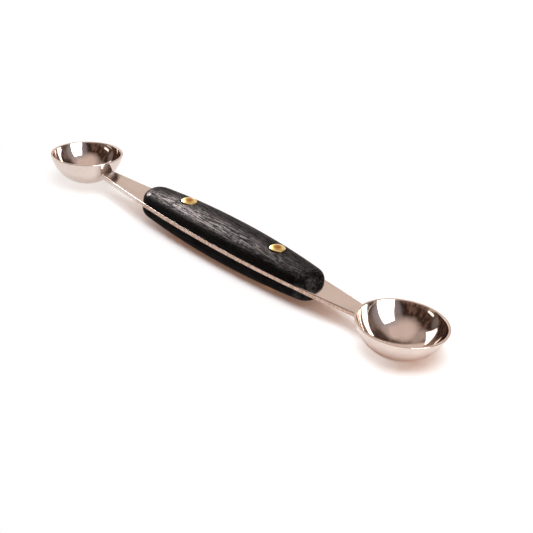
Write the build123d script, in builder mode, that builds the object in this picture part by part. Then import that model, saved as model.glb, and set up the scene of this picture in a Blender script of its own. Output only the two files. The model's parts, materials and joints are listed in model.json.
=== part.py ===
# Double-ended melon baller
# A flat steel tang runs the whole length and carries a bowl-shaped scoop at each end. Two shaped wooden
# scales are riveted to it as the grip, held by two pairs of brass compression rivets.
# Millimetres. +X points to the large scoop, +Z up, and the origin is on the table under the middle.

from build123d import *
from math import asin, cos, radians, sin, sqrt, tan
import os

# Overall
scoop_spacing = 144.0            # between the middles of the two rims
tang_top_height = 8.2            # top face of the tang over the table
grip_offset = -0.45              # from the middle between the rims to the middle of the grip

# Scoops, measured outside
large_scoop_diameter = 30.0
large_scoop_depth = 11.3
large_scoop_tilt = 0.0           # degrees that the outer lip dips
small_scoop_diameter = 25.5
small_scoop_depth = 10.6
small_scoop_tilt = 6.5
small_scoop_clearance = 0.7      # under it, where the tool rests on its large scoop and its grip
scoop_wall = 0.8
scoop_lip_round = 0.2            # on both arrises of the rim

# Tang
tang_thickness = 1.7
tang_edge_round = 0.45
tang_cope_overrun = 3.0          # stock that reaches into a scoop before it is coped away
grip_width = 15.0                # at the middle, where the outline is widest
grip_side_radius = 365.0
grip_side_run_out = 6.5          # of the bulging sides, from the scales' ends to the straight tapers

# Scales
scale_length = 77.9
scale_height = 6.4               # from the tang to the crown, at the middle
scale_end_drop = 1.75            # how far the crown has come down where an end starts to turn
scale_end_turn = 5.2             # radius of an end's corners, seen from above
scale_end_flat = 1.4             # left straight across an end at least, between its turned corners
scale_nose_drop = 1.95           # how far the crown comes down from there to the tip
scale_crown_radius = 10.2        # across the grip
scale_shoulder_round = 3.6       # between the crown and the sides

# Rivets
rivet_spacing = 40.4
rivet_head_diameter = 5.5
rivet_head_edge = 1.0            # straight edge of the head, under its dome
rivet_dome_rise = 0.75
rivet_seat_height = 4.7          # from the tang to the underside of a head
rivet_head_gap = 0.25            # all round a head, in its counterbore
rivet_shank_diameter = 4.0
rivet_shank_gap = 0.05           # all round the shank, in the scales and the tang
rivet_pin_diameter = 2.6
rivet_pin_gap = 0.02             # all round the pin, in the socket
rivet_socket_floor = 1.0         # metal over the blind end of the socket, under the dome
rivet_end_gap = 0.6              # ahead of the pin's point and of the socket's mouth
rivet_point_bevel = 0.3

os.makedirs("parts", exist_ok=True)

# Places that follow from the sizes
large_radius = large_scoop_diameter / 2
small_radius = small_scoop_diameter / 2
large_reach = large_radius * cos(radians(large_scoop_tilt))
small_reach = small_radius * cos(radians(small_scoop_tilt))
middle_x = (small_reach - large_reach) / 2
large_scoop_x = middle_x + scoop_spacing / 2
small_scoop_x = middle_x - scoop_spacing / 2
grip_x = middle_x + grip_offset
tang_bottom_height = tang_top_height - tang_thickness
rivet_places = [grip_x - rivet_spacing / 2, grip_x + rivet_spacing / 2]


def arc_radius(half_width, rise):
    """Radius of the circle or sphere that rises this much over this half width."""
    return (half_width**2 + rise**2) / (2 * rise)


grip_side_length = scale_length + 2 * grip_side_run_out
grip_end_lean = asin(scale_length / 2 / grip_side_radius)
grip_end_width = grip_width - 2 * grip_side_radius * (1 - cos(grip_end_lean))
widest_end_turn = (grip_end_width - scale_end_flat) / 2 * tan(radians(45) + grip_end_lean / 2)
end_turn = min(scale_end_turn, widest_end_turn)


def rim_plane(rim_x, outward, rim_radius, depth, tilt, clearance):
    """The plane of a rim, its X axis pointing outwards, where the bowl's bottom clears the table by so much."""
    ball = arc_radius(rim_radius, depth)
    height = clearance + ball - (ball - depth) * cos(radians(tilt))
    out = Vector(outward * cos(radians(tilt)), 0, -sin(radians(tilt)))
    up = Vector(outward * sin(radians(tilt)), 0, cos(radians(tilt)))
    return Plane(origin=(rim_x, 0, height), x_dir=out, z_dir=up)


large_rim = rim_plane(large_scoop_x, 1, large_radius, large_scoop_depth, large_scoop_tilt, 0)
small_rim = rim_plane(
    small_scoop_x, -1, small_radius, small_scoop_depth, small_scoop_tilt, small_scoop_clearance
)


# Scoops: a spherical bowl of even wall with a flat rim
def make_scoop(rim, rim_radius, depth):
    ball = arc_radius(rim_radius, depth)
    inner_ball = ball - scoop_wall
    inner_rim_radius = sqrt(inner_ball**2 - (ball - depth) ** 2)
    section = Plane(origin=rim.origin, x_dir=rim.x_dir, z_dir=-rim.y_dir)
    with BuildPart() as scoop:
        with BuildSketch(section):
            with BuildLine():
                outside = RadiusArc((0, -depth), (rim_radius, 0), -ball)
                land = Line(outside @ 1, (inner_rim_radius, 0))
                inside = RadiusArc(land @ 1, (0, scoop_wall - depth), inner_ball)
                Line(inside @ 1, outside @ 0)
            make_face()
        revolve(axis=Axis(rim.origin, rim.z_dir))
        lip = scoop.faces().filter_by(GeomType.PLANE).edges()
        fillet(lip, radius=scoop_lip_round)
    return scoop


large_scoop = make_scoop(large_rim, large_radius, large_scoop_depth)
large_scoop.part.label = "large_scoop"
export_step(large_scoop.part, "parts/large_scoop.step")

small_scoop = make_scoop(small_rim, small_radius, small_scoop_depth)
small_scoop.part.label = "small_scoop"
export_step(small_scoop.part, "parts/small_scoop.step")


# Tang: bulging in the grip, tapered to the scoops, coped to fit against their outsides
def bulging_side(side):
    """One long side of the grip's outline, as an arc that ends at the straight tapers."""
    half_length = grip_side_length / 2
    drop = grip_side_radius - sqrt(grip_side_radius**2 - half_length**2)
    ends = side * (grip_width / 2 - drop)
    return ThreePointArc((-half_length, ends), (0, side * grip_width / 2), (half_length, ends))


def taper_end(corner, direction, stop_x):
    """Where the straight taper that leaves a corner in this direction reaches stop_x."""
    return corner + direction * ((stop_x - corner.X) / direction.X)


tang_right = large_scoop_x - large_radius + tang_cope_overrun + scoop_wall - grip_x
tang_left = small_scoop_x + small_radius - tang_cope_overrun - scoop_wall - grip_x

with BuildPart() as tang:
    with BuildSketch(Plane((grip_x, 0, tang_bottom_height))):
        with BuildLine():
            near_side = bulging_side(-1)
            near_right = Line(near_side @ 1, taper_end(near_side @ 1, near_side % 1, tang_right))
            near_left = Line(near_side @ 0, taper_end(near_side @ 0, near_side % 0, tang_left))
            far_side = bulging_side(1)
            far_right = Line(far_side @ 1, taper_end(far_side @ 1, far_side % 1, tang_right))
            far_left = Line(far_side @ 0, taper_end(far_side @ 0, far_side % 0, tang_left))
            Line(near_right @ 1, far_right @ 1)
            Line(near_left @ 1, far_left @ 1)
        make_face()
    extrude(amount=tang_thickness)
    flat_faces = tang.faces().filter_by(Axis.Z)
    fillet(flat_faces.edges(), radius=tang_edge_round)
    for rim, rim_radius, depth in (
        (large_rim, large_radius, large_scoop_depth),
        (small_rim, small_radius, small_scoop_depth),
    ):
        ball = arc_radius(rim_radius, depth)
        with Locations(rim.origin + rim.z_dir * (ball - depth)):
            Sphere(ball, mode=Mode.SUBTRACT)
    with Locations(*[(x, 0, tang_top_height) for x in rivet_places]):
        Hole(rivet_shank_diameter / 2 + rivet_shank_gap)
tang.part.label = "tang"
export_step(tang.part, "parts/tang.step")


# Scales: sawn to the tang's outline, crowned both ways, with turned ends and soft shoulders
def make_scale():
    """The upper scale. The lower one is its mirror image."""
    half_length = scale_length / 2
    turn_x = grip_side_radius * (half_length - end_turn) / (grip_side_radius - end_turn)
    end_height = scale_height - scale_end_drop
    nose_height = end_height - scale_nose_drop
    crown_axis_height = tang_top_height + scale_height - scale_crown_radius
    with BuildPart() as scale:
        with BuildSketch(Plane((grip_x, 0, tang_top_height))) as outline:
            with BuildLine():
                near_side = bulging_side(-1)
                far_side = bulging_side(1)
                Line(near_side @ 0, far_side @ 0)
                Line(near_side @ 1, far_side @ 1)
            make_face()
            Rectangle(scale_length, grip_width, mode=Mode.INTERSECT)
            fillet(outline.vertices(), radius=end_turn)
        extrude(amount=scale_height)
        with BuildSketch(Plane((grip_x, 0, tang_top_height), x_dir=(1, 0, 0), z_dir=(0, -1, 0))):
            with BuildLine():
                crown = ThreePointArc((-turn_x, end_height), (0, scale_height), (turn_x, end_height))
                right_nose = TangentArc(crown @ 1, (half_length, nose_height), tangent=crown % 1)
                left_nose = TangentArc(crown @ 0, (-half_length, nose_height), tangent=-(crown % 0))
                Polyline(
                    left_nose @ 1,
                    (-half_length, scale_height - scale_crown_radius),
                    (half_length, scale_height - scale_crown_radius),
                    right_nose @ 1,
                )
            make_face()
        revolve(axis=Axis((grip_x, 0, crown_axis_height), (1, 0, 0)), mode=Mode.INTERSECT)
        base = scale.faces().sort_by(Axis.Z)[0]
        walls = scale.faces().filter_by(lambda face: abs(face.normal_at().Z) < sin(radians(1)))
        shoulder = walls.edges().filter_by(GeomType.LINE, reverse=True) - base.edges()
        fillet(shoulder, radius=scale_shoulder_round)
        with Locations(*[(x, 0, tang_top_height + scale_height) for x in rivet_places]):
            CounterBoreHole(
                radius=rivet_shank_diameter / 2 + rivet_shank_gap,
                counter_bore_radius=rivet_head_diameter / 2 + rivet_head_gap,
                counter_bore_depth=scale_height - rivet_seat_height,
            )
    return scale


upper_scale = make_scale()
upper_scale.part.label = "upper_scale"
export_step(upper_scale.part, "parts/upper_scale.step")

tang_middle = Plane.XY.offset(tang_top_height - tang_thickness / 2)
with BuildPart() as lower_scale:
    add(mirror(upper_scale.part, about=tang_middle))
lower_scale.part.label = "lower_scale"
export_step(lower_scale.part, "parts/lower_scale.step")


# Rivets: a socket from above and a pin from below, each with a domed head
upper_seat = tang_top_height + rivet_seat_height
lower_seat = tang_bottom_height - rivet_seat_height
socket_radius = rivet_pin_diameter / 2 + rivet_pin_gap


def head_outline(shank_radius):
    """Half of a head, from the shank over the dome to the axis, with its seat at zero height."""
    head_radius = rivet_head_diameter / 2
    top = rivet_head_edge + rivet_dome_rise
    ball = arc_radius(head_radius, rivet_dome_rise)
    edge = Polyline((shank_radius, 0), (head_radius, 0), (head_radius, rivet_head_edge))
    RadiusArc(edge @ 1, (0, top), -ball)
    return top


def make_socket(x):
    """The half that comes from above, with its blind bore open at the bottom."""
    shank_radius = rivet_shank_diameter / 2
    mouth = lower_seat + rivet_end_gap - upper_seat
    with BuildPart() as socket:
        with BuildSketch(Plane((x, 0, upper_seat), x_dir=(1, 0, 0), z_dir=(0, -1, 0))):
            with BuildLine():
                top = head_outline(shank_radius)
                Polyline(
                    (0, top),
                    (0, rivet_head_edge + rivet_dome_rise - rivet_socket_floor),
                    (socket_radius, rivet_head_edge + rivet_dome_rise - rivet_socket_floor),
                    (socket_radius, mouth),
                    (shank_radius, mouth),
                    (shank_radius, 0),
                )
            make_face()
        revolve(axis=Axis((x, 0, 0), (0, 0, 1)))
    return socket


def make_pin(x):
    """The half that comes from below, with a solid pin that fills the socket."""
    pin_radius = rivet_pin_diameter / 2
    floor = upper_seat + rivet_head_edge + rivet_dome_rise - rivet_socket_floor
    point = floor - rivet_end_gap - lower_seat
    with BuildPart() as pin:
        with BuildSketch(Plane((x, 0, lower_seat), x_dir=(1, 0, 0), z_dir=(0, 1, 0))):
            with BuildLine():
                top = head_outline(pin_radius)
                Polyline(
                    (0, top),
                    (0, -point),
                    (pin_radius - rivet_point_bevel, -point),
                    (pin_radius, rivet_point_bevel - point),
                    (pin_radius, 0),
                )
            make_face()
        revolve(axis=Axis((x, 0, 0), (0, 0, 1)))
    return pin


for name, x in (("small_end", rivet_places[0]), ("large_end", rivet_places[1])):
    socket = make_socket(x)
    socket.part.label = name + "_rivet_socket"
    export_step(socket.part, f"parts/{name}_rivet_socket.step")
    pin = make_pin(x)
    pin.part.label = name + "_rivet_pin"
    export_step(pin.part, f"parts/{name}_rivet_pin.step")
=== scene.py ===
"""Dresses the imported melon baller: polished scoops, satin tang, black open-grained scales and brass rivets."""

import json
from math import acos, asin, cos, pi, radians, sin

import bmesh
import bpy
from bpy.props import FloatProperty, FloatVectorProperty, IntProperty, PointerProperty
from mathutils import Matrix, Vector

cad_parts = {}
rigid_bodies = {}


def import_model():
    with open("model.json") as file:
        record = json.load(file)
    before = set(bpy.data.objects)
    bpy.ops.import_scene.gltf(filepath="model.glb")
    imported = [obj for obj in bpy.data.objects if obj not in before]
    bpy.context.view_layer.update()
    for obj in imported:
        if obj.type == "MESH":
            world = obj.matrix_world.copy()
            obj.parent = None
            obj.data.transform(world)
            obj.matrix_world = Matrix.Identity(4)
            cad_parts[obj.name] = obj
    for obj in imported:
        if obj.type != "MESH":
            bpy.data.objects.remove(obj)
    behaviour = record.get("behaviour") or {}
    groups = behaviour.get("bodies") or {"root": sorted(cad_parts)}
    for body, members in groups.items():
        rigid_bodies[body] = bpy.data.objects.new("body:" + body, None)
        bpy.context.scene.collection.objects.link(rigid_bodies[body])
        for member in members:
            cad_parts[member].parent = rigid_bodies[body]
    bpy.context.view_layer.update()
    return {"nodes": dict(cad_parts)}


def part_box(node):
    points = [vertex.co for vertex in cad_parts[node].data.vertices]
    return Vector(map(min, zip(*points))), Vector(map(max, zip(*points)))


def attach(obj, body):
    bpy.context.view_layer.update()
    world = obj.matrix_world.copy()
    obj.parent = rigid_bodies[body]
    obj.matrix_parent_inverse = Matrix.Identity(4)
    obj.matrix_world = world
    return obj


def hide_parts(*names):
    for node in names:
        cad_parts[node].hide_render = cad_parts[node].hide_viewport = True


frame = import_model()

bl_info = {
    "name": "Melon Baller",
    "version": (1, 0, 0),
    "blender": (4, 5, 0),
    "location": "View3D > Sidebar > Melon Baller",
    "description": "Builds the looks of a double-ended melon baller round its solid model",
    "category": "Object",
}


# Stage sizes, in metres, that stay clear of the tool
FLOOR_RADIUS = 2.3
ROOM_RADIUS = 2.4
SENSOR_WIDTH = 36.0  # millimetres

# Corners nearer than this are one corner, in metres
MERGE_DISTANCE = 1e-7


# Settings that a user would change
def length(name, description, default):
    """A length setting, in metres."""
    return FloatProperty(name=name, description=description, default=default, min=0.0, precision=5, unit="LENGTH")


def turn(name, description, degrees):
    """An angle setting."""
    return FloatProperty(name=name, description=description, default=radians(degrees), subtype="ANGLE")


def colour(name, description, default):
    """A colour setting."""
    return FloatVectorProperty(
        name=name, description=description, default=default, size=3, min=0.0, max=1.0, subtype="COLOR"
    )


def share(name, description, default, highest=1.0):
    """A setting without a unit."""
    return FloatProperty(name=name, description=description, default=default, min=0.0, max=highest)


class ScoopSizes(bpy.types.PropertyGroup):
    """Sizes of the two bowls, measured outside."""

    spacing: length("Spacing", "Between the middles of the two rims", 0.144)
    large_radius: length("Large rim radius", "Outside radius of the large rim", 0.015)
    large_depth: length("Large depth", "From the large rim to the outside of its bottom", 0.0113)
    large_tilt: turn("Large tilt", "How far the large scoop's outer lip dips", 0.0)
    small_radius: length("Small rim radius", "Outside radius of the small rim", 0.01275)
    small_depth: length("Small depth", "From the small rim to the outside of its bottom", 0.0106)
    small_tilt: turn("Small tilt", "How far the small scoop's outer lip dips", 6.5)
    small_clearance: length("Small clearance", "Under the small scoop, over the table", 0.0007)
    wall: length("Wall", "Thickness of both bowls", 0.0008)
    lip_round: length("Lip rounding", "Radius on both arrises of a rim", 0.0002)
    rings: IntProperty(name="Rings", description="Steps from the rim to the bottom of a bowl", default=56, min=8)
    sides: IntProperty(name="Sides", description="Steps round a bowl", default=224, min=24)


class RivetSizes(bpy.types.PropertyGroup):
    """Sizes of the two halves of a compression rivet."""

    head_radius: length("Head radius", "Outside radius of a head", 0.00275)
    edge: length("Edge", "Straight edge of a head, under its dome", 0.001)
    dome_rise: length("Dome rise", "Height of the dome over its edge", 0.00075)
    edge_round: length("Edge rounding", "Radius between the dome and the edge", 0.0006)
    shank_radius: length("Shank radius", "Outside radius of the socket's tube", 0.002)
    bore_radius: length("Bore radius", "Inside radius of the socket's tube", 0.00132)
    bore_floor: length("Bore floor", "Metal over the blind end of the bore, under the dome's top", 0.001)
    pin_radius: length("Pin radius", "Radius of the solid pin", 0.0013)
    point_bevel: length("Point bevel", "Bevel on the pin's point", 0.0003)
    sides: IntProperty(name="Sides", description="Steps round a rivet", default=112, min=12)
    rings: IntProperty(name="Rings", description="Steps from the edge to the middle of a dome", default=20, min=3)


class Finishes(bpy.types.PropertyGroup):
    """Colours and polish of the four materials."""

    scoop_steel: colour("Scoop steel", "Polished steel of the bowls", (0.7, 0.6, 0.545))
    tang_steel: colour("Tang steel", "Satin steel of the tang", (0.68, 0.6, 0.555))
    wood_dark: colour("Wood, dark", "Stained wood between the fibres", (0.0008, 0.0006, 0.0005))
    wood_light: colour("Wood, light", "Stained wood along the fibres", (0.005, 0.0038, 0.0034))
    brass: colour("Brass", "Polished brass of the rivets", (0.95, 0.75, 0.33))
    fibre_width: length("Fibre width", "Width of the fibres of the wood", 0.0003)
    fibre_length: length("Fibre length", "Length of the fibres of the wood", 0.0055)
    pore_share: share("Pores", "Share of the wood's surface taken by open pores", 0.8)


class Studio(bpy.types.PropertyGroup):
    """Camera, floor and lights."""

    camera_azimuth: turn("Camera azimuth", "Turn of the camera round the tool, from the front", 39.162)
    camera_elevation: turn("Camera elevation", "Height of the camera over the table", 27.794)
    camera_roll: turn("Camera roll", "Turn of the camera about its own axis", 7.745)
    camera_distance: length("Camera distance", "From the camera to the plane of the aim point", 0.5276)
    camera_lens: share("Lens", "Focal length in millimetres on a 36 mm sensor", 108.07, 500.0)
    aim: FloatVectorProperty(
        name="Aim",
        description="Point that the camera looks at",
        default=(0.010681, 0.005340, 0.001860),
        size=3,
        precision=6,
        unit="LENGTH",
    )
    floor_colour: colour("Floor", "Paper that the tool lies on", (0.96, 0.96, 0.96))
    shade_glow: colour("Shade", "Warm light that fills the shade on the paper", (0.14, 0.07, 0.045))
    large_bounce: colour("Large bowl's light", "Light that the large bowl throws on the paper", (0.3, 0.36, 0.38))
    small_bounce: colour("Small bowl's light", "Light that the small bowl throws on the paper", (0.13, 0.14, 0.13))
    ambient: colour("Ambient", "Light of the room on matt surfaces", (0.385, 0.278, 0.227))
    room_dark: colour("Dark room", "What polished metal shows of the room", (0.085, 0.05, 0.037))
    sweep: colour("Paper sweep", "What polished metal shows of the paper behind the tool", (0.86, 0.73, 0.65))
    ceiling: colour("Ceiling", "What polished metal shows of the ceiling", (0.82, 0.68, 0.62))
    daylight: colour("Daylight", "Cool tint of the light overhead, which turns the warm paper white", (0.8, 0.93, 1.0))
    top_radiance: share("Top light", "Brightness of the wide light overhead", 5.65, 100.0)
    key_radiance: share("Key light", "Brightness in reflections of the light at the right-hand end", 7.0, 100.0)
    fill_radiance: share("Fill light", "Brightness in reflections of the light at the left-hand end", 2.0, 100.0)
    grip_radiance: share("Grip light", "Brightness of the lamp that grazes the wood and the rivets", 250.0, 1000.0)
    edge_radiance: share("Edge light", "Brightness of the strip that draws the tang's upper arris", 11.0, 1000.0)
    window_radiance: share("Window", "Brightness in reflections of the small window in front", 2.2, 100.0)


SETTINGS = (ScoopSizes, RivetSizes, Finishes, Studio)


# Shader nodes
def shader_node(tree, kind, values=(), **options):
    """A node in a tree, with its options and its unlinked inputs set."""
    made = tree.nodes.new("ShaderNode" + kind)
    for key, value in options.items():
        setattr(made, key, value)
    for key, value in dict(values).items():
        made.inputs[key].default_value = value
    return made


def wire(tree, start, end):
    """Links an output socket to an input socket."""
    tree.links.new(start, end)


def sums(tree, operation, first, second=None, third=None, clamp=False):
    """A Math node over sockets or numbers, and its output."""
    made = shader_node(tree, "Math", operation=operation, use_clamp=clamp)
    for place, value in enumerate((first, second, third)):
        if isinstance(value, bpy.types.NodeSocket):
            wire(tree, value, made.inputs[place])
        elif value is not None:
            made.inputs[place].default_value = value
    return made.outputs[0]


def ramp(tree, value, low, high, to_low=0.0, to_high=1.0, smooth=True):
    """A Map Range node from low..high to to_low..to_high, and its output."""
    made = shader_node(tree, "MapRange", {"From Min": low, "From Max": high, "To Min": to_low, "To Max": to_high})
    made.interpolation_type = "SMOOTHSTEP" if smooth else "LINEAR"
    wire(tree, value, made.inputs["Value"])
    return made.outputs["Result"]


def blend_colours(tree, factor, first, second, mode="MIX"):
    """A Mix node over colours, and its output."""
    made = shader_node(tree, "Mix", data_type="RGBA", blend_type=mode)
    for place, value in ((0, factor), (6, first), (7, second)):
        if isinstance(value, bpy.types.NodeSocket):
            wire(tree, value, made.inputs[place])
        elif place == 0:
            made.inputs[place].default_value = value
        else:
            made.inputs[place].default_value = (*value, 1.0)
    return made.outputs[2]


def new_group(name, inputs, outputs):
    """An empty shader node group with named sockets, and its two end nodes."""
    tree = bpy.data.node_groups.new(name, "ShaderNodeTree")
    for label, kind, default in inputs:
        socket = tree.interface.new_socket(name=label, in_out="INPUT", socket_type="NodeSocket" + kind)
        if default is not None:
            socket.default_value = default
    for label, kind in outputs:
        tree.interface.new_socket(name=label, in_out="OUTPUT", socket_type="NodeSocket" + kind)
    return tree, tree.nodes.new("NodeGroupInput"), tree.nodes.new("NodeGroupOutput")


def placed_group(tree, name, build, values=()):
    """A shared node group, built on first use, as a node of a tree."""
    shared = bpy.data.node_groups.get(name) or build(name)
    made = tree.nodes.new("ShaderNodeGroup")
    made.node_tree = shared
    for key, value in dict(values).items():
        made.inputs[key].default_value = value
    return made


def stretched_coordinates(tree, vector, sizes):
    """Coordinates counted in cells of these sizes, which are sockets or metres, along X, Y and Z."""
    cells = shader_node(tree, "VectorMath", operation="DIVIDE")
    wire(tree, vector, cells.inputs[0])
    joined = shader_node(tree, "CombineXYZ")
    for place, size in enumerate(sizes):
        if isinstance(size, bpy.types.NodeSocket):
            wire(tree, size, joined.inputs[place])
        else:
            joined.inputs[place].default_value = size
    wire(tree, joined.outputs[0], cells.inputs[1])
    return cells.outputs[0]


def noise(tree, vector, detail=2.0, roughness=0.5, distortion=0.0):
    """A Noise Texture in cells of one, and its value."""
    values = {"Scale": 1.0, "Detail": detail, "Roughness": roughness, "Distortion": distortion}
    made = shader_node(tree, "TexNoise", values)
    wire(tree, vector, made.inputs["Vector"])
    return made.outputs[0]


def build_polishing_lines(name):
    """Fine lines that a belt or a buff leaves: long along X, close together across."""
    tree, start, end = new_group(
        name,
        (("Vector", "Vector", None), ("Spacing", "Float", 0.00012), ("Length", "Float", 0.02)),
        (("Lines", "Float"), ("Scratches", "Float")),
    )
    vector, spacing, long = (start.outputs[label] for label in ("Vector", "Spacing", "Length"))
    fine = noise(tree, stretched_coordinates(tree, vector, (long, spacing, spacing)), detail=3.0, roughness=0.6)
    scratch_spacing = sums(tree, "MULTIPLY", spacing, 3.5)
    scratch_cells = stretched_coordinates(tree, vector, (long, scratch_spacing, scratch_spacing))
    coarse = noise(tree, scratch_cells, detail=2.0, roughness=0.5, distortion=0.3)
    wire(tree, fine, end.inputs["Lines"])
    scratch_starts, scratch_full = 0.63, 0.72
    wire(tree, ramp(tree, coarse, scratch_starts, scratch_full), end.inputs["Scratches"])
    return tree


def build_handling_haze(name):
    """Cloudy marks of handling and wiping, from 0 to 1."""
    tree, start, end = new_group(name, (("Vector", "Vector", None), ("Size", "Float", 0.006)), (("Haze", "Float"),))
    size = start.outputs["Size"]
    cells = stretched_coordinates(tree, start.outputs["Vector"], (size, size, size))
    clouds = noise(tree, cells, detail=4.0, roughness=0.55, distortion=0.6)
    haze_starts, haze_full = 0.35, 0.72
    wire(tree, ramp(tree, clouds, haze_starts, haze_full), end.inputs["Haze"])
    return tree


def build_open_grain(name):
    """Fibres and open pores of a coarse hardwood, running along X, with fibre ends on the turned ends."""
    tree, start, end = new_group(
        name,
        (
            ("Vector", "Vector", None),
            ("Fibre Width", "Float", 0.00035),
            ("Fibre Length", "Float", 0.007),
            ("Pore Share", "Float", 0.3),
        ),
        (("Fibre", "Float"), ("Pore", "Float"), ("Figure", "Float"), ("Height", "Float")),
    )
    vector, width, long = start.outputs["Vector"], start.outputs["Fibre Width"], start.outputs["Fibre Length"]
    sways_per_metre, sway_reach = 45.0, 0.0022
    sway = shader_node(tree, "TexNoise", {"Scale": sways_per_metre, "Detail": 1.0})
    wire(tree, vector, sway.inputs["Vector"])
    centred = shader_node(tree, "VectorMath", operation="SUBTRACT")
    wire(tree, sway.outputs["Color"], centred.inputs[0])
    centred.inputs[1].default_value = (0.5, 0.5, 0.5)
    bent = shader_node(tree, "VectorMath", {2: (0.0, 0.0, 0.0)}, operation="MULTIPLY_ADD")
    wire(tree, centred.outputs[0], bent.inputs[0])
    bent.inputs[1].default_value = (0.0, sway_reach, sway_reach)
    wire(tree, vector, bent.inputs[2])
    fibre = noise(tree, stretched_coordinates(tree, bent.outputs[0], (long, width, width)), detail=3.0, roughness=0.6)
    pore_width = sums(tree, "MULTIPLY", width, 1.5)
    pore_length = sums(tree, "MULTIPLY", long, 0.36)
    cells = shader_node(tree, "TexVoronoi", {"Scale": 1.0, "Randomness": 1.0}, feature="F1")
    pore_cells = stretched_coordinates(tree, bent.outputs[0], (pore_length, pore_width, pore_width))
    wire(tree, pore_cells, cells.inputs["Vector"])
    chosen = shader_node(tree, "SeparateColor")
    wire(tree, cells.outputs["Color"], chosen.inputs[0])
    pore_core, pore_rim = 0.22, 0.36
    near = ramp(tree, cells.outputs["Distance"], pore_core, pore_rim, 1.0, 0.0)
    figure_size = (0.012, 0.0022, 0.0022)
    clouds = noise(tree, stretched_coordinates(tree, vector, figure_size), detail=2.0, roughness=0.5)
    fewest, most = 0.5, 1.9
    limit = sums(tree, "MULTIPLY", start.outputs["Pore Share"], ramp(tree, clouds, 0.35, 0.65, fewest, most))
    open_cell = sums(tree, "LESS_THAN", chosen.outputs[0], limit)
    pore = sums(tree, "MULTIPLY", near, open_cell)
    wire(tree, fibre, end.inputs["Fibre"])
    wire(tree, pore, end.inputs["Pore"])
    wire(tree, clouds, end.inputs["Figure"])
    ridge = sums(tree, "MULTIPLY", fibre, 0.45)
    wire(tree, sums(tree, "SUBTRACT", ridge, pore), end.inputs["Height"])
    return tree


# Materials
def new_material(name, **constants):
    """A material with one Principled shader, its constants set on the shader's own sockets."""
    made = bpy.data.materials.new(name)
    made.use_nodes = True
    tree = made.node_tree
    shader = tree.nodes["Principled BSDF"]
    for key, value in constants.items():
        label = key.replace("_", " ").title().replace("Ior", "IOR")
        shader.inputs[label].default_value = (*value, 1.0) if isinstance(value, tuple) else value
    where = shader_node(tree, "TexCoord")
    return made, tree, shader, where.outputs["Object"]


def dimmed(base, red, green=None, blue=None):
    """A colour with each channel taken times a share, the first where the others aren't given."""
    shares = (red, red if green is None else green, red if blue is None else blue)
    return tuple(channel * part for channel, part in zip(base, shares))


def bumped(tree, shader, height, distance):
    """Feeds a height in shares of distance to a shader's normal."""
    bump = shader_node(tree, "Bump", {"Strength": 1.0, "Distance": distance})
    wire(tree, height, bump.inputs["Height"])
    wire(tree, bump.outputs[0], shader.inputs["Normal"])
    return bump.outputs[0]


def scoop_steel(finishes):
    """Buffed steel: nearly a mirror, with slight waves from forming, fine buffing lines and handling haze."""
    made, tree, shader, place = new_material("scoop_steel_polished", metallic=1.0)
    lines = placed_group(tree, "Polishing Lines", build_polishing_lines, {"Spacing": 0.00016, "Length": 0.004})
    haze = placed_group(tree, "Handling Haze", build_handling_haze, {"Size": 0.0045})
    for part in (lines, haze):
        wire(tree, place, part.inputs["Vector"])
    base = tuple(finishes.scoop_steel)
    tint = blend_colours(tree, haze.outputs["Haze"], base, dimmed(base, 0.95))
    wire(tree, tint, shader.inputs["Base Color"])
    bright_buff, hazed_buff, line_roughness = 0.035, 0.085, 0.03
    rough = ramp(tree, haze.outputs["Haze"], 0.0, 1.0, bright_buff, hazed_buff, smooth=False)
    wire(tree, sums(tree, "MULTIPLY_ADD", lines.outputs["Lines"], line_roughness, rough), shader.inputs["Roughness"])
    wave_size, wave_height = (0.007, 0.007, 0.007), 0.00006
    waves = noise(tree, stretched_coordinates(tree, place, wave_size), detail=1.5, roughness=0.45)
    fine = sums(tree, "MULTIPLY", lines.outputs["Lines"], 0.024)
    bumped(tree, shader, sums(tree, "ADD", waves, fine), wave_height)
    return made


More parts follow.
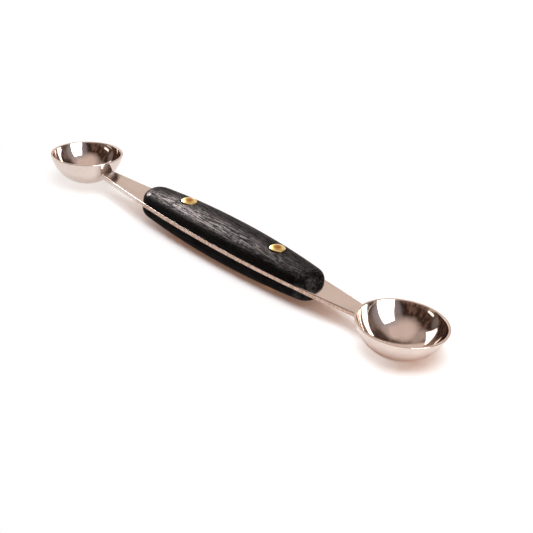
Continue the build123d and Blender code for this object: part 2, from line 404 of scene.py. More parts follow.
def tang_steel(finishes):
    """Belt-finished steel strip: satin, with long fine lines on its faces and short grinding lines across its edges,
    whose colour along the grip is darkened warm brown as a painted reflection of the shaded paper.
    """
    made, tree, shader, place = new_material("tang_steel_satin", metallic=1.0, anisotropic=0.35)
    lines = placed_group(tree, "Polishing Lines", build_polishing_lines, {"Spacing": 0.00011, "Length": 0.03})
    haze = placed_group(tree, "Handling Haze", build_handling_haze, {"Size": 0.008})
    for part in (lines, haze):
        wire(tree, place, part.inputs["Vector"])
    base = tuple(finishes.tang_steel)
    worn = blend_colours(tree, haze.outputs["Haze"], base, dimmed(base, 0.93))
    streaks = sums(tree, "MULTIPLY", lines.outputs["Scratches"], 0.3)
    streaked = blend_colours(tree, streaks, worn, dimmed(base, 1.1))
    upright = shader_node(tree, "SeparateXYZ")
    wire(tree, shader_node(tree, "NewGeometry").outputs["Normal"], upright.inputs[0])
    steep = sums(tree, "ABSOLUTE", upright.outputs["Z"])
    edge = ramp(tree, steep, 0.25, 0.5, 1.0, 0.0)
    arris = sums(tree, "MULTIPLY", ramp(tree, steep, 0.3, 0.45), ramp(tree, steep, 0.9, 0.98, 1.0, 0.0))
    along = shader_node(tree, "SeparateXYZ")
    wire(tree, place, along.inputs[0])
    from_end = sums(tree, "SUBTRACT", along.outputs["X"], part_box("upper_scale")[0].x)
    stain_size, grinding_size = (0.0005, 0.004, 0.004), (0.0003, 0.003, 0.003)
    cross_lines = noise(tree, stretched_coordinates(tree, place, stain_size), detail=2.0, roughness=0.6)
    # Painted shade: along the grip the edge faces are darkened warm brown, a painted reflection of the shaded paper
    # under it, with real grinding stains varying it across the lines.
    dark_stain_and_shade, light_stain_and_shade = (0.6, 0.46, 0.38), (0.86, 0.72, 0.64)
    stains = ramp(tree, cross_lines, 0.4, 0.6)
    ground_edge_and_shade = blend_colours(tree, stains, dimmed(base, *dark_stain_and_shade), dimmed(base, *light_stain_and_shade))
    # The edge faces from the grip's left end on carry that painted shade.
    edge_in_painted_shade = sums(tree, "MULTIPLY", edge, ramp(tree, from_end, -0.004, 0.003))
    wire(tree, blend_colours(tree, edge_in_painted_shade, streaked, ground_edge_and_shade), shader.inputs["Base Color"])
    clean_satin, hazed_satin = 0.1, 0.17
    rough = ramp(tree, haze.outputs["Haze"], 0.0, 1.0, clean_satin, hazed_satin, smooth=False)
    rubbed = sums(tree, "MULTIPLY_ADD", arris, 0.08, sums(tree, "MULTIPLY_ADD", edge, 0.12, rough))
    wire(tree, sums(tree, "MULTIPLY_ADD", lines.outputs["Lines"], 0.07, rubbed), shader.inputs["Roughness"])
    ground_lines = noise(tree, stretched_coordinates(tree, place, grinding_size), detail=1.0, roughness=0.5)
    line_height, grinding_depth = 0.0000012, 40.0
    crossed = sums(tree, "MULTIPLY", ramp(tree, steep, 0.6, 0.9, grinding_depth, 0.0), ground_lines)
    marks = sums(tree, "ADD", lines.outputs["Lines"], lines.outputs["Scratches"])
    bumped(tree, shader, sums(tree, "ADD", marks, crossed), line_height)
    return made


def build_handled_shine(name):
    """Where the thumb has polished the grip, from 0 to 1: its near shoulder, less its crown and hardly its flanks."""
    tree, start, end = new_group(
        name,
        (
            ("Vector", "Vector", None),
            ("Flank Top", "Float", 0.0112),
            ("Crown Edge", "Float", 0.0142),
            ("Underside", "Float", 0.0068),
            ("Left End", "Float", -0.04),
            ("Worn Spot", "Vector", (-0.0367, -0.0043, 0.0115)),
        ),
        (("Shine", "Float"),),
    )
    parts = shader_node(tree, "SeparateXYZ")
    wire(tree, start.outputs["Vector"], parts.inputs[0])
    cloud_size, ragged_by = (0.006, 0.0016, 0.0016), 0.0016
    clouds = noise(tree, stretched_coordinates(tree, start.outputs["Vector"], cloud_size), detail=2.0, roughness=0.6)
    height = sums(tree, "MULTIPLY_ADD", clouds, ragged_by, parts.outputs["Z"])
    above = shader_node(tree, "MapRange", {"To Min": 0.02, "To Max": 1.0}, interpolation_type="SMOOTHSTEP")
    wire(tree, height, above.inputs["Value"])
    wire(tree, start.outputs["Flank Top"], above.inputs["From Min"])
    wire(tree, start.outputs["Crown Edge"], above.inputs["From Max"])
    underside_shine, crown_shine, end_shine = 0.06, 0.38, 0.24
    underneath = sums(tree, "LESS_THAN", parts.outputs["Z"], start.outputs["Underside"])
    below = sums(tree, "MULTIPLY", underneath, underside_shine)
    near_shoulder = ramp(tree, parts.outputs["Y"], -0.0032, 0.0005, 1.0, crown_shine)
    sided = sums(tree, "MULTIPLY", above.outputs["Result"], near_shoulder)
    from_end = sums(tree, "SUBTRACT", parts.outputs["X"], start.outputs["Left End"])
    ended = sums(tree, "MULTIPLY", sided, ramp(tree, from_end, 0.002, 0.016, end_shine, 1.0))
    away = shader_node(tree, "VectorMath", operation="DISTANCE")
    wire(tree, start.outputs["Vector"], away.inputs[0])
    wire(tree, start.outputs["Worn Spot"], away.inputs[1])
    spot_core, spot_rim = 0.0005, 0.0012
    spot = ramp(tree, away.outputs["Value"], spot_core, spot_rim, 1.0, 0.0)
    wire(tree, sums(tree, "MAXIMUM", spot, sums(tree, "MAXIMUM", ended, below)), end.inputs["Shine"])
    return tree


def build_end_swirl(name):
    """The turned end past a line across the grip, from 0 to 1, and the swirling figure that shows on it."""
    tree, start, end = new_group(
        name,
        (("Vector", "Vector", None), ("Start", "Float", 0.03), ("Size", "Float", 0.0024)),
        (("End", "Float"), ("Swirl", "Float")),
    )
    vector, size = start.outputs["Vector"], start.outputs["Size"]
    parts = shader_node(tree, "SeparateXYZ")
    wire(tree, vector, parts.inputs[0])
    cells = stretched_coordinates(tree, vector, (size, size, size))
    swirl = noise(tree, cells, detail=3.0, roughness=0.6, distortion=2.6)
    past = sums(tree, "SUBTRACT", parts.outputs["X"], start.outputs["Start"])
    ragged_by = 0.0016
    wavy = sums(tree, "MULTIPLY_ADD", swirl, ragged_by, past)
    wire(tree, ramp(tree, wavy, 0.0004, 0.0016), end.inputs["End"])
    wire(tree, ramp(tree, swirl, 0.4, 0.62), end.inputs["Swirl"])
    return tree


def black_wood(finishes):
    """Ebonised open-grained wood, waxed by handling: raised fibres shine, pores and flanks stay black and dull."""
    made, tree, shader, place = new_material(
        "black_wood_open_grain", roughness=0.6, specular_ior_level=0.02, coat_roughness=0.48, coat_ior=1.5
    )
    left, right = (corner.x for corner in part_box("upper_scale"))
    grain = placed_group(
        tree,
        "Open Grain",
        build_open_grain,
        {"Fibre Width": finishes.fibre_width, "Fibre Length": finishes.fibre_length, "Pore Share": finishes.pore_share},
    )
    handled = placed_group(tree, "Handled Shine", build_handled_shine, {"Left End": left})
    turned_end = 0.0055
    swirl = placed_group(tree, "End Swirl", build_end_swirl, {"Start": right - turned_end})
    for part in (grain, handled, swirl):
        wire(tree, place, part.inputs["Vector"])
    fibre, pore = grain.outputs["Fibre"], grain.outputs["Pore"]
    end_mask = swirl.outputs["End"]
    stained = blend_colours(tree, ramp(tree, fibre, 0.3, 0.7), tuple(finishes.wood_dark), tuple(finishes.wood_light))
    pore_black = (0.0012, 0.001, 0.0009)
    wire(tree, blend_colours(tree, pore, stained, pore_black), shader.inputs["Base Color"])
    dry, waxed = 0.7, 0.5
    wire(tree, ramp(tree, fibre, 0.3, 0.7, dry, waxed), shader.inputs["Roughness"])
    furrow_wax = 0.1
    raised = ramp(tree, fibre, 0.43, 0.56, furrow_wax, 1.0)
    closed = sums(tree, "SUBTRACT", 1.0, sums(tree, "MULTIPLY", pore, 0.9))
    along = sums(tree, "MULTIPLY", raised, closed)
    across = ramp(tree, swirl.outputs["Swirl"], 0.0, 1.0, 0.03, 0.5)
    figured = shader_node(tree, "Mix", data_type="FLOAT")
    for place_in, value in ((0, end_mask), (2, sums(tree, "MULTIPLY", along, handled.outputs["Shine"])), (3, across)):
        wire(tree, value, figured.inputs[place_in])
    wire(tree, figured.outputs[0], shader.inputs["Coat Weight"])
    grain_depth = 0.000045
    relief = sums(tree, "MULTIPLY_ADD", swirl.outputs["Swirl"], 0.6, grain.outputs["Height"])
    bump = bumped(tree, shader, relief, grain_depth)
    wire(tree, bump, shader.inputs["Coat Normal"])
    return made


def build_dome_painted_reflection(name):
    """A painted dark reflection in the middle of two domes on the X axis, shifted to their front, and a darker ring
    round their edges, both from 0 to 1.
    """
    tree, start, end = new_group(
        name,
        (
            ("Vector", "Vector", None),
            ("Middle", "Float", 0.0),
            ("Half Spacing", "Float", 0.02),
            ("Radius", "Float", 0.0021),
        ),
        (("Painted Reflection", "Float"), ("Edge Dirt", "Float")),
    )
    parts = shader_node(tree, "SeparateXYZ")
    wire(tree, start.outputs["Vector"], parts.inputs[0])
    from_middle = sums(tree, "ABSOLUTE", sums(tree, "SUBTRACT", parts.outputs["X"], start.outputs["Middle"]))
    along = sums(tree, "SUBTRACT", from_middle, start.outputs["Half Spacing"])
    from_axis = shader_node(tree, "CombineXYZ")
    from_painted_middle = shader_node(tree, "CombineXYZ")
    # Painted reflection: the dark middle is shifted to the front of each dome.
    to_front = 0.0004
    wire(tree, along, from_painted_middle.inputs[0])
    wire(tree, sums(tree, "ADD", parts.outputs["Y"], to_front), from_painted_middle.inputs[1])
    wire(tree, parts.outputs["Y"], from_axis.inputs[1])
    wire(tree, along, from_axis.inputs[0])
    radius = shader_node(tree, "VectorMath", operation="LENGTH")
    wire(tree, from_painted_middle.outputs[0], radius.inputs[0])
    reach = sums(tree, "DIVIDE", radius.outputs["Value"], start.outputs["Radius"])
    cloud_size = (0.0006, 0.0006, 0.0006)
    clouds = noise(tree, stretched_coordinates(tree, start.outputs["Vector"], cloud_size), detail=3.0, roughness=0.6)
    ragged = sums(tree, "MULTIPLY_ADD", clouds, 0.4, reach)
    wire(tree, ramp(tree, ragged, 0.6, 1.2, 1.0, 0.0), end.inputs["Painted Reflection"])
    head_radius = shader_node(tree, "VectorMath", operation="LENGTH")
    wire(tree, from_axis.outputs[0], head_radius.inputs[0])
    # Darker round the outer edge of each head.
    dark_rim_starts, dark_rim_full = 0.0025, 0.00265
    wire(tree, ramp(tree, head_radius.outputs["Value"], dark_rim_starts, dark_rim_full), end.inputs["Edge Dirt"])
    return tree


def rivet_brass(finishes):
    """Polished brass, with a painted dark reflection in the middle of each dome and a darker ring round its edge."""
    made, tree, shader, place = new_material("rivet_brass_polished", metallic=1.0)
    small_end, large_end = (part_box(f"{end}_rivet_socket") for end in ("small_end", "large_end"))
    small_x, large_x = ((low.x + high.x) / 2 for low, high in (small_end, large_end))
    lines = placed_group(tree, "Polishing Lines", build_polishing_lines, {"Spacing": 0.00009, "Length": 0.006})
    haze = placed_group(tree, "Handling Haze", build_handling_haze, {"Size": 0.0016})
    painted_reflection = placed_group(
        tree,
        "Dome Tarnish",
        build_dome_painted_reflection,
        {"Middle": (small_x + large_x) / 2, "Half Spacing": (large_x - small_x) / 2},
    )
    for part in (lines, haze, painted_reflection):
        wire(tree, place, part.inputs["Vector"])
    base = tuple(finishes.brass)
    hazed = blend_colours(tree, haze.outputs["Haze"], base, dimmed(base, 0.95, 0.9, 0.8))
    # Painted reflection: the middle of each dome is darkened brown, standing for the dark room that it reflects.
    with_painted_reflection = blend_colours(tree, painted_reflection.outputs["Painted Reflection"], hazed, dimmed(base, 0.34, 0.2, 0.07))
    # Darker round the outer edge of each head, where it meets the wood.
    dark_rim_brown = (0.05, 0.025, 0.01)
    with_dark_rim = blend_colours(tree, painted_reflection.outputs["Edge Dirt"], with_painted_reflection, dark_rim_brown)
    wire(tree, with_dark_rim, shader.inputs["Base Color"])
    bright_roughness, reflection_roughness, line_height = 0.26, 0.32, 0.0000012
    rough = ramp(tree, painted_reflection.outputs["Painted Reflection"], 0.0, 1.0, bright_roughness, reflection_roughness, smooth=False)
    wire(tree, sums(tree, "MULTIPLY_ADD", lines.outputs["Lines"], 0.06, rough), shader.inputs["Roughness"])
    bumped(tree, shader, lines.outputs["Lines"], line_height)
    return made


def finish_named(name, build):
    """A material by name, made on first use."""
    return bpy.data.materials.get(name) or build(bpy.context.scene.melon_baller_finishes)


# Pieces
def arc_radius(half_width, rise):
    """Radius of the circle or sphere that rises this much over this half width."""
    return (half_width**2 + rise**2) / (2 * rise)


def add_piece(name, mesh_maker, material, slot, *nodes):
    """Makes an object of a bmesh, gives it its finish and lets it stand for the CAD nodes."""
    mesh = bpy.data.meshes.new(name)
    mesh_maker.to_mesh(mesh)
    mesh_maker.free()
    mesh.shade_smooth()
    mesh.materials.append(material)
    piece = bpy.data.objects.new(name, mesh)
    bpy.context.scene.collection.objects.link(piece)
    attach(piece, "root")
    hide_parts(*nodes)
    return piece


def spin_profile(shape, sides):
    """Turns a profile in the XZ plane once round Z and closes its seam and poles."""
    bmesh.ops.spin(
        shape,
        geom=shape.verts[:] + shape.edges[:],
        cent=(0, 0, 0),
        axis=(0, 0, 1),
        dvec=(0, 0, 0),
        angle=2 * pi,
        steps=sides,
        use_merge=True,
        use_normal_flip=False,
        use_duplicate=False,
    )
    bmesh.ops.remove_doubles(shape, verts=shape.verts[:], dist=MERGE_DISTANCE)
    bmesh.ops.recalc_face_normals(shape, faces=shape.faces[:])


def sweep_arc(shape, start, centre, angle, steps):
    """Adds an arc in the XZ plane that turns from start about centre, and returns its last vertex."""
    first = shape.verts.new(start)
    made = bmesh.ops.spin(
        shape,
        geom=[first],
        cent=centre,
        axis=(0, 1, 0),
        dvec=(0, 0, 0),
        angle=angle,
        steps=steps,
        use_merge=False,
        use_normal_flip=False,
        use_duplicate=False,
    )
    return next(part for part in made["geom_last"] if isinstance(part, bmesh.types.BMVert))


def bowl_shape(radius, depth, sizes):
    """A spherical bowl of even wall with a flat land, its rim at zero height and its axis along Z."""
    ball = arc_radius(radius, depth)
    centre = (0, 0, ball - depth)
    rim_level = ball - depth
    inner = ball - sizes.wall
    shape = bmesh.new()
    outside = sweep_arc(shape, (0, 0, rim_level - ball), centre, -acos(rim_level / ball), sizes.rings)
    inside = sweep_arc(shape, (0, 0, rim_level - inner), centre, -acos(rim_level / inner), sizes.rings)
    shape.edges.new((outside, inside))
    bmesh.ops.bevel(
        shape,
        geom=[outside, inside],
        offset=sizes.lip_round,
        offset_type="OFFSET",
        segments=4,
        profile=0.5,
        affect="VERTICES",
        material=-1,
    )
    spin_profile(shape, sizes.sides)
    return shape


class MELON_BALLER_OT_scoops(bpy.types.Operator):
    """Spins the two polished bowls and lets them stand for the scoops"""

    bl_idname = "melon_baller.scoops"
    bl_label = "Scoops"

    def execute(self, context):
        sizes = context.scene.melon_baller_scoops
        low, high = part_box("large_scoop")
        large_x = (low.x + high.x) / 2
        small_x = large_x - sizes.spacing
        large = (sizes.large_radius, sizes.large_depth, sizes.large_tilt, 0.0)
        small = (sizes.small_radius, sizes.small_depth, sizes.small_tilt, sizes.small_clearance)
        for node, x, outward, bowl in (("large_scoop", large_x, 1, large), ("small_scoop", small_x, -1, small)):
            radius, depth, tilt, clearance = bowl
            ball = arc_radius(radius, depth)
            shape = bowl_shape(radius, depth, sizes)
            rim_height = clearance + ball - (ball - depth) * cos(tilt)
            bmesh.ops.rotate(
                shape, verts=shape.verts[:], cent=(0, 0, 0), matrix=Matrix.Rotation(outward * tilt, 3, "Y")
            )
            bmesh.ops.translate(shape, verts=shape.verts[:], vec=(x, 0, rim_height))
            steel = finish_named("scoop_steel_polished", scoop_steel)
            add_piece(node.replace("scoop", "bowl"), shape, steel, "scoop_steel", node)
        return {"FINISHED"}


class MELON_BALLER_OT_tang(bpy.types.Operator):
    """Gives the tang its satin steel"""

    bl_idname = "melon_baller.tang"
    bl_label = "Tang"

    def execute(self, context):
        dress_node("tang", finish_named("tang_steel_satin", tang_steel))
        return {"FINISHED"}


class MELON_BALLER_OT_scales(bpy.types.Operator):
    """Gives the two scales their black, open-grained wood"""

    bl_idname = "melon_baller.scales"
    bl_label = "Scales"

    def execute(self, context):
        for node in ("upper_scale", "lower_scale"):
            dress_node(node, finish_named("black_wood_open_grain", black_wood))
        return {"FINISHED"}


def rivet_shape(shank, sizes):
    """Half a rivet, its axis along Z and its dome's top at zero height.

    The shank is given by its corners, each as (radius, height).
    """
    ball = arc_radius(sizes.head_radius, sizes.dome_rise)
    turn_radius = sizes.head_radius - sizes.edge_round
    lean = asin(turn_radius / (ball - sizes.edge_round))
    turn_height = (ball - sizes.edge_round) * cos(lean) - ball
    seat_height = -sizes.dome_rise - sizes.edge
    shape = bmesh.new()
    crown_end = sweep_arc(shape, (0, 0, 0), (0, 0, -ball), lean, sizes.rings)
    last = sweep_arc(shape, crown_end.co.copy(), (turn_radius, 0, turn_height), pi / 2 - lean, sizes.rings)
    for radius, height in ((sizes.head_radius, seat_height), (shank[0][0], seat_height), *shank):
        corner = shape.verts.new((radius, 0, height))
        shape.edges.new((last, corner))
        last = corner
    spin_profile(shape, sizes.sides)
    return shape


class MELON_BALLER_OT_rivets(bpy.types.Operator):
    """Turns the two halves of both compression rivets and lets them stand for the rivets"""

    bl_idname = "melon_baller.rivets"
    bl_label = "Rivets"

    def execute(self, context):
        sizes = context.scene.melon_baller_rivets
        for end in ("small_end", "large_end"):
            for half in ("socket", "pin"):
                node = f"{end}_rivet_{half}"
                low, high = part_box(node)
                foot = low.z - high.z
                if half == "socket":
                    floor = -sizes.bore_floor
                    bore = [(sizes.bore_radius, foot), (sizes.bore_radius, floor), (0, floor)]
                    shank = [(sizes.shank_radius, foot), *bore]
                else:
                    bevelled = (sizes.pin_radius - sizes.point_bevel, foot)
                    shank = [(sizes.pin_radius, foot + sizes.point_bevel), bevelled, (0, foot)]
                shape = rivet_shape(shank, sizes)
                if half == "pin":
                    bmesh.ops.rotate(shape, verts=shape.verts[:], cent=(0, 0, 0), matrix=Matrix.Rotation(pi, 3, "X"))
                top = high.z if half == "socket" else low.z
                bmesh.ops.translate(shape, verts=shape.verts[:], vec=((low.x + high.x) / 2, 0, top))
                brass = finish_named("rivet_brass_polished", rivet_brass)
                add_piece(f"{end}_turned_{half}", shape, brass, "rivet_brass", node)
        return {"FINISHED"}


def dress_node(node, material):
    """Puts one material on every slot of a CAD node."""
    slots = frame["nodes"][node].material_slots
    if not slots:
        raise RuntimeError(f"{node} has no material slot")
    for slot in slots:
        slot.material = material


# Stage
def bearing(azimuth, elevation):
    """Unit vector towards an azimuth, from the front round to the right, and an elevation."""
    return Vector((sin(azimuth) * cos(elevation), -cos(azimuth) * cos(elevation), sin(elevation)))


def add_stage_mesh(name, shape, material):
    """An object that isn't part of the tool."""
    mesh = bpy.data.meshes.new(name)
    shape.to_mesh(mesh)
    shape.free()
    mesh.materials.append(material)
    made = bpy.data.objects.new(name, mesh)
    bpy.context.scene.collection.objects.link(made)
    return made


def seen_directly(tree):
    """1 for camera, glossy and transmission rays, and 0 for the rays that carry light."""
    rays = shader_node(tree, "LightPath").outputs
    mirror = sums(tree, "MAXIMUM", rays["Is Glossy Ray"], rays["Is Transmission Ray"])
    return sums(tree, "MAXIMUM", rays["Is Camera Ray"], mirror)


def floor_paper(studio):
    """Matt white paper that keeps the shade near the tool and turns plain white further out."""
    made, tree, shader, place = new_material("floor_paper", roughness=0.9, specular_ior_level=0.1)
    shader.inputs["Base Color"].default_value = (*studio.floor_colour, 1.0)
    # Painted light: the paper glows warm wherever it is seen, which fills its shade, and glows brighter round each bowl
    # for the camera, in place of the light that the polished bowl throws.
    glow = tuple(studio.shade_glow)
    for node, bounce, to_side, to_front in (
        ("large_scoop", studio.large_bounce, -0.007, -0.007),
        ("small_scoop", studio.small_bounce, 0.004, -0.005),
    ):
        low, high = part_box(node)
        middle = ((low.x + high.x) / 2 + to_side, to_front, 0.0)
        off = shader_node(tree, "VectorMath", {1: middle}, operation="DISTANCE")
        round_bowl = shader_node(tree, "VectorMath", {1: ((low.x + high.x) / 2, 0.0, 0.0)}, operation="DISTANCE")
        wire(tree, place, off.inputs[0])
        wire(tree, place, round_bowl.inputs[0])
        outside_contact = ramp(tree, round_bowl.outputs["Value"], 0.005, 0.013)
        fading = ramp(tree, round_bowl.outputs["Value"], 0.018, 0.032, 1.0, 0.0)
        faint_ring = sums(tree, "MULTIPLY", sums(tree, "MULTIPLY", outside_contact, fading), 0.45)
        patch = sums(tree, "MAXIMUM", faint_ring, ramp(tree, off.outputs["Value"], 0.004, 0.018, 1.0, 0.0))
        camera_only = shader_node(tree, "LightPath").outputs["Is Camera Ray"]
        glow = blend_colours(tree, sums(tree, "MULTIPLY", patch, camera_only), glow, tuple(bounce), "ADD")
    wire(tree, glow, shader.inputs["Emission Color"])
    seen = seen_directly(tree)
    wire(tree, seen, shader.inputs["Emission Strength"])
    shade_middle, shade_ends, plain_white = (0.04, 0.0, 0.0), 0.064, 0.152
    far = shader_node(tree, "VectorMath", {1: shade_middle}, operation="DISTANCE")
    wire(tree, place, far.inputs[0])
    outer = sums(tree, "MULTIPLY", ramp(tree, far.outputs["Value"], shade_ends, plain_white, smooth=False), seen)
    white = shader_node(tree, "Emission", {"Color": (1.0, 1.0, 1.0, 1.0), "Strength": 1.0})
    mixed = shader_node(tree, "MixShader")
    wire(tree, outer, mixed.inputs[0])
    wire(tree, shader.outputs[0], mixed.inputs[1])
    wire(tree, white.outputs[0], mixed.inputs[2])
    wire(tree, mixed.outputs[0], tree.nodes["Material Output"].inputs["Surface"])
    return made


def room_surround(studio):
    """What polished metal reflects: a dark warm room, a paper sweep behind the tool and a lit ceiling.

    Each soft patch is given by its azimuth and elevation and its inner and outer angles, in degrees.
    """
    made = bpy.data.materials.new("room_surround")
    made.use_nodes = True
    tree = made.node_tree
    tree.nodes.clear()
    place = shader_node(tree, "TexCoord").outputs["Object"]
    unit = shader_node(tree, "VectorMath", operation="NORMALIZE")
    wire(tree, place, unit.inputs[0])
    direction = unit.outputs[0]
    parts = shader_node(tree, "SeparateXYZ")
    wire(tree, direction, parts.inputs[0])
    height = parts.outputs["Z"]

    def towards(azimuth, elevation, inner, outer):
        """A soft round patch about a bearing, from 1 inside the inner angle to 0 outside the outer one."""
        dot = shader_node(tree, "VectorMath", operation="DOT_PRODUCT")
        wire(tree, direction, dot.inputs[0])
        dot.inputs[1].default_value = bearing(radians(azimuth), radians(elevation))
        return ramp(tree, dot.outputs["Value"], cos(radians(outer)), cos(radians(inner)))

    def scaled(amount, value):
        return sums(tree, "MULTIPLY", value, amount)

    def risen(low, high):
        """From 1 under one elevation to 0 over another, in degrees."""
        return ramp(tree, height, sin(radians(high)), sin(radians(low)))

    blotch_size = (0.16, 0.16, 0.7)
    pink_wall, grey_wall, cool_halo = (0.34, 0.23, 0.19), (0.26, 0.22, 0.2), (0.6, 0.6, 0.66)
    blotches = noise(tree, stretched_coordinates(tree, direction, blotch_size), detail=2.5, roughness=0.6)
    dark = tuple(studio.room_dark)
    room = blend_colours(tree, ramp(tree, blotches, 0.38, 0.72), dimmed(dark, 0.4), dimmed(dark, 2.4))
    low_wall = sums(tree, "MULTIPLY", towards(15, 5, 30, 62), risen(5, 16))
    pink = sums(tree, "MULTIPLY", low_wall, ramp(tree, blotches, 0.3, 0.65, 0.25, 1.0))
    with_wall = blend_colours(tree, pink, room, pink_wall)
    right_wall = sums(tree, "MAXIMUM", scaled(0.24, towards(122, 42, 12, 44)), scaled(0.6, towards(128, 64, 6, 26)))
    with_wall = blend_colours(tree, scaled(0.8, towards(-58, 12, 4, 16)), with_wall, grey_wall)
    left_ceiling = scaled(0.6, towards(-72, 54, 6, 26))
    overhead = towards(5, 76, 8, 42)
    spill = sums(tree, "ADD", right_wall, sums(tree, "MAXIMUM", left_ceiling, overhead), clamp=True)
    with_ceiling = blend_colours(tree, spill, with_wall, tuple(studio.ceiling))
    with_halo = blend_colours(tree, scaled(0.4, towards(87, 30, 28, 44)), with_ceiling, cool_halo)
    seamed = blend_colours(tree, scaled(0.75, towards(162, 44, 8, 20)), with_halo, dimmed(dark, 0.6))
    swept = sums(tree, "MULTIPLY", towards(219, 22, 37, 45), risen(60, 70))
    with_sweep = blend_colours(tree, swept, seamed, tuple(studio.sweep))
    glow = shader_node(tree, "Emission", {"Strength": 1.0})
    wire(tree, with_sweep, glow.inputs["Color"])
    out = shader_node(tree, "OutputMaterial")
    wire(tree, glow.outputs[0], out.inputs["Surface"])
    return made


def soft_light(name, bearings, distance, size, radiance, tint, turned=(0, 0, 0)):
    """A rectangular soft light at an azimuth and elevation in degrees, with its power from the brightness of its face.

    It faces the tool, and is then turned by degrees about its own upright, level and facing axes.
    """
    azimuth, elevation = bearings
    across, tall = size
    data = bpy.data.lights.new(name, "AREA")
    data.shape = "RECTANGLE"
    data.size = across
    data.size_y = tall
    data.energy = radiance * pi * across * tall
    data.color = tint
    made = bpy.data.objects.new(name, data)
    bpy.context.scene.collection.objects.link(made)
    towards = bearing(radians(azimuth), radians(elevation))
    facing = towards.to_track_quat("Z", "Y").to_matrix().to_4x4()
    for angle, axis in zip(turned, "YXZ"):
        facing = facing @ Matrix.Rotation(radians(angle), 4, axis)
    made.matrix_world = Matrix.Translation(towards * distance) @ facing
    made.visible_camera = False
    return made


def shine_only_on(light, pieces):
    """Keeps a light off everything but these pieces."""
    lit = bpy.data.collections.new(light.name + "_pieces")
    for piece in pieces:
        lit.objects.link(piece)
    light.light_linking.receiver_collection = lit


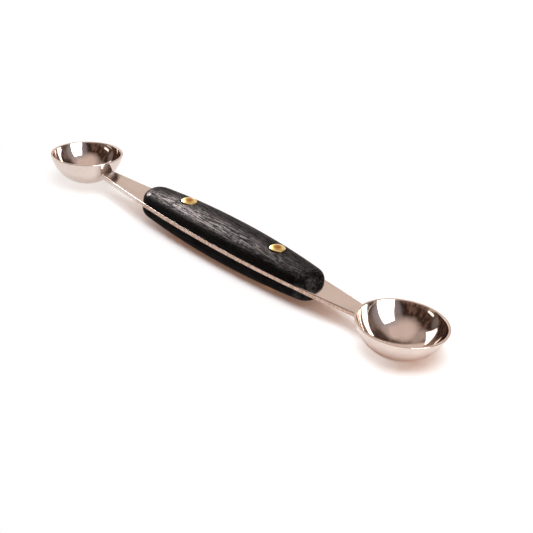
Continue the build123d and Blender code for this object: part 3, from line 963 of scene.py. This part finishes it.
class MELON_BALLER_OT_stage(bpy.types.Operator):
    """Sets the paper floor, the soft lights, the room in the reflections and the camera"""

    bl_idname = "melon_baller.stage"
    bl_label = "Stage"

    def execute(self, context):
        scene = context.scene
        studio = scene.melon_baller_studio
        scene.view_settings.view_transform = "Standard"

        paper = bmesh.new()
        bmesh.ops.create_circle(paper, cap_ends=True, radius=FLOOR_RADIUS, segments=64)
        bmesh.ops.recalc_face_normals(paper, faces=paper.faces[:])
        add_stage_mesh("floor", paper, floor_paper(studio))

        dome = bmesh.new()
        bmesh.ops.create_uvsphere(dome, u_segments=64, v_segments=32, radius=ROOM_RADIUS)
        bmesh.ops.reverse_faces(dome, faces=dome.faces[:])
        surround = add_stage_mesh("room", dome, room_surround(studio))
        surround.visible_camera = False
        surround.visible_diffuse = False
        surround.visible_shadow = False

        white, warm_white, rosy, amber = (1.0, 1.0, 1.0), (1.0, 0.97, 0.95), (1.0, 0.88, 0.86), (1.0, 0.95, 0.85)
        near = 1.3
        top = soft_light("top_light", (30, 76), near, (0.98, 0.98), studio.top_radiance, tuple(studio.daylight))
        top.visible_glossy = False
        key = soft_light("key_light", (87, 33.5), 1.559, (1.0, 1.68), studio.key_radiance, white, (0, 33.5, -5))
        leaning = (54.6, 52.5, 20.8)
        fill = soft_light("fill_light", (-92.6, 27.7), near, (1.104, 0.933), studio.fill_radiance, warm_white, leaning)
        grazing = soft_light("grip_light", (-97, 25), near, (0.36, 0.23), studio.grip_radiance, rosy)
        shine_only_on(grazing, [made for made in scene.objects if "scale" in made.name or "turned" in made.name])
        strip = soft_light("edge_light", (-66, 29), near, (0.42, 0.4), studio.edge_radiance, warm_white)
        shine_only_on(strip, [frame["nodes"]["tang"]])
        window = soft_light("window_light", (-31, 9.5), 1.0, (0.33, 0.085), studio.window_radiance, amber)
        for reflected in (key, fill, grazing, strip, window):
            reflected.visible_diffuse = False

        world = bpy.data.worlds.new("studio_air")
        world.use_nodes = True
        tree = world.node_tree
        ambient = tree.nodes["Background"]
        ambient.inputs["Color"].default_value = (*studio.ambient, 1.0)
        ambient.inputs["Strength"].default_value = 1.0
        white = shader_node(tree, "Background", {"Color": (1.0, 1.0, 1.0, 1.0), "Strength": 1.0})
        mixed = shader_node(tree, "MixShader")
        wire(tree, seen_directly(tree), mixed.inputs[0])
        wire(tree, ambient.outputs[0], mixed.inputs[1])
        wire(tree, white.outputs[0], mixed.inputs[2])
        wire(tree, mixed.outputs[0], tree.nodes["World Output"].inputs["Surface"])
        scene.world = world

        data = bpy.data.cameras.new("camera")
        data.lens = studio.camera_lens
        data.sensor_width = SENSOR_WIDTH
        data.clip_start = 0.01
        data.clip_end = 20.0
        camera = bpy.data.objects.new("camera", data)
        scene.collection.objects.link(camera)
        back = bearing(studio.camera_azimuth, studio.camera_elevation)
        level = Vector((0, 0, 1)).cross(back).normalized()
        upright = back.cross(level)
        roll = studio.camera_roll
        right = cos(roll) * level + sin(roll) * upright
        up = cos(roll) * upright - sin(roll) * level
        turned = Matrix((right, up, back)).transposed().to_4x4()
        camera.matrix_world = Matrix.Translation(Vector(studio.aim) + back * studio.camera_distance) @ turned
        scene.camera = camera
        return {"FINISHED"}


OPERATORS = (
    MELON_BALLER_OT_scoops,
    MELON_BALLER_OT_tang,
    MELON_BALLER_OT_scales,
    MELON_BALLER_OT_rivets,
    MELON_BALLER_OT_stage,
)


class MELON_BALLER_PT_sidebar(bpy.types.Panel):
    """Lists the pieces and their settings"""

    bl_idname = "MELON_BALLER_PT_sidebar"
    bl_label = "Melon Baller"
    bl_space_type = "VIEW_3D"
    bl_region_type = "UI"
    bl_category = "Melon Baller"

    def draw(self, context):
        for operator in OPERATORS:
            self.layout.operator(operator.bl_idname)
        for settings in (
            context.scene.melon_baller_scoops,
            context.scene.melon_baller_rivets,
            context.scene.melon_baller_finishes,
            context.scene.melon_baller_studio,
        ):
            box = self.layout.box()
            for name in settings.__annotations__:
                box.prop(settings, name)


def register():
    for made in (*SETTINGS, *OPERATORS, MELON_BALLER_PT_sidebar):
        bpy.utils.register_class(made)
    bpy.types.Scene.melon_baller_scoops = PointerProperty(type=ScoopSizes)
    bpy.types.Scene.melon_baller_rivets = PointerProperty(type=RivetSizes)
    bpy.types.Scene.melon_baller_finishes = PointerProperty(type=Finishes)
    bpy.types.Scene.melon_baller_studio = PointerProperty(type=Studio)


def unregister():
    for name in ("studio", "finishes", "rivets", "scoops"):
        delattr(bpy.types.Scene, "melon_baller_" + name)
    for made in reversed((*SETTINGS, *OPERATORS, MELON_BALLER_PT_sidebar)):
        bpy.utils.unregister_class(made)


def main():
    register()
    bpy.ops.melon_baller.scoops()
    bpy.ops.melon_baller.tang()
    bpy.ops.melon_baller.scales()
    bpy.ops.melon_baller.rivets()
    bpy.ops.melon_baller.stage()


if __name__ == "__main__":
    main()
